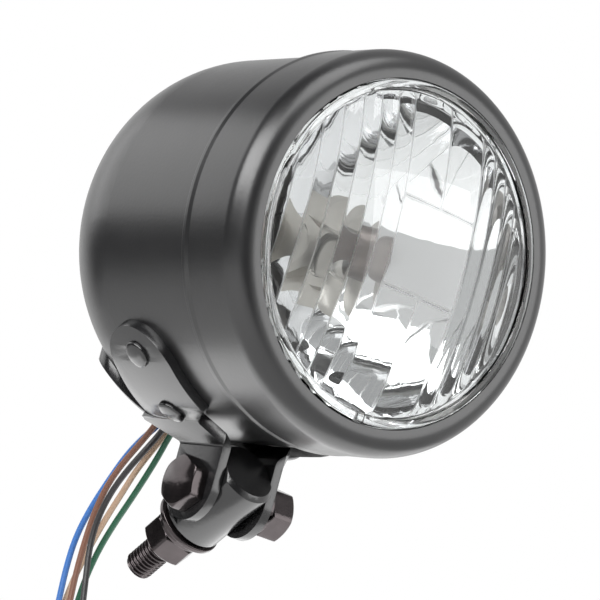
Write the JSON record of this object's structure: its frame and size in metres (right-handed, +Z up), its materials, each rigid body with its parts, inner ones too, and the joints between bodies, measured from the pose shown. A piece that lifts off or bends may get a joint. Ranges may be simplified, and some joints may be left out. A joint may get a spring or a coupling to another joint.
{
  "type": "motorcycle headlight",
  "caption": "Round black motorcycle headlight with a fluted glass lens in a deep bullet bucket, a riveted bottom bracket, a clamped tilting pivot, a threaded mounting stud and loose wires.",
  "frame": {"origin": "on the mounting stud's axis, in the middle of its free threaded end", "axes": "+Z up, -Y the way the lens faces, +X to the right of someone who looks at the lens"},
  "size_m": [0.128, 0.139, 0.2614],
  "materials": {
    "black_paint": "satin black paint",
    "black_fastener": "gloss black zinc",
    "zinc_steel": "bright zinc plate",
    "lens_glass": "clear fluted glass",
    "bulb_envelope": "clear glass",
    "bulb_shade": "grey dipped cap",
    "reflector_mirror": "vacuum-plated mirror",
    "brass_contacts": "plain brass",
    "black_rubber": "matt rubber",
    "connector_plastic": "moulded plastic",
    "lead_sleeve": "soft insulation",
    "blue_wire": "soft insulation",
    "beige_wire": "soft insulation",
    "brown_wire": "soft insulation",
    "black_wire": "soft insulation",
    "green_wire": "soft insulation",
    "tinned_core": "tinned copper strands"
  },
  "bodies": {
    "mount": {"pivot_block": "black_paint", "mount_stud": "black_fastener", "mount_washer": "black_fastener", "mount_lock_washer": "black_fastener", "mount_nut": "black_fastener"},
    "head": {"bucket": "black_paint", "rim": "black_paint", "bracket_left": "black_paint", "bracket_right": "black_paint", "bracket_rivets": "black_paint", "pivot_bolt": "black_fastener", "pivot_lock_washer": "black_fastener", "pivot_nut": "black_fastener", "rim_screw": "black_fastener", "rim_screw_nut": "zinc_steel", "unit_clips": "zinc_steel", "bulb_base": "zinc_steel", "bulb_spring": "zinc_steel", "lens": "lens_glass", "bulb_glass": "bulb_envelope", "pilot_bulb": "bulb_envelope", "bulb_cap": "bulb_shade", "reflector": "reflector_mirror", "bulb_contacts": "brass_contacts", "lens_seal": "black_rubber", "dust_boot": "black_rubber", "wire_grommet": "black_rubber", "bulb_connector": "connector_plastic", "pilot_holder": "connector_plastic", "inner_leads": "lead_sleeve", "wire_blue": "blue_wire", "wire_beige": "beige_wire", "wire_brown": "brown_wire", "wire_black": "black_wire", "wire_green": "green_wire", "wire_ends": "tinned_core"}
  },
  "joints": [
    {"name": "tilt", "type": "hinge", "parent": "mount", "child": "head", "pos_m": [0, -0.02833, 0.02213], "axis": [1, 0, 0], "range_deg": [-38, 142]}
  ]
}
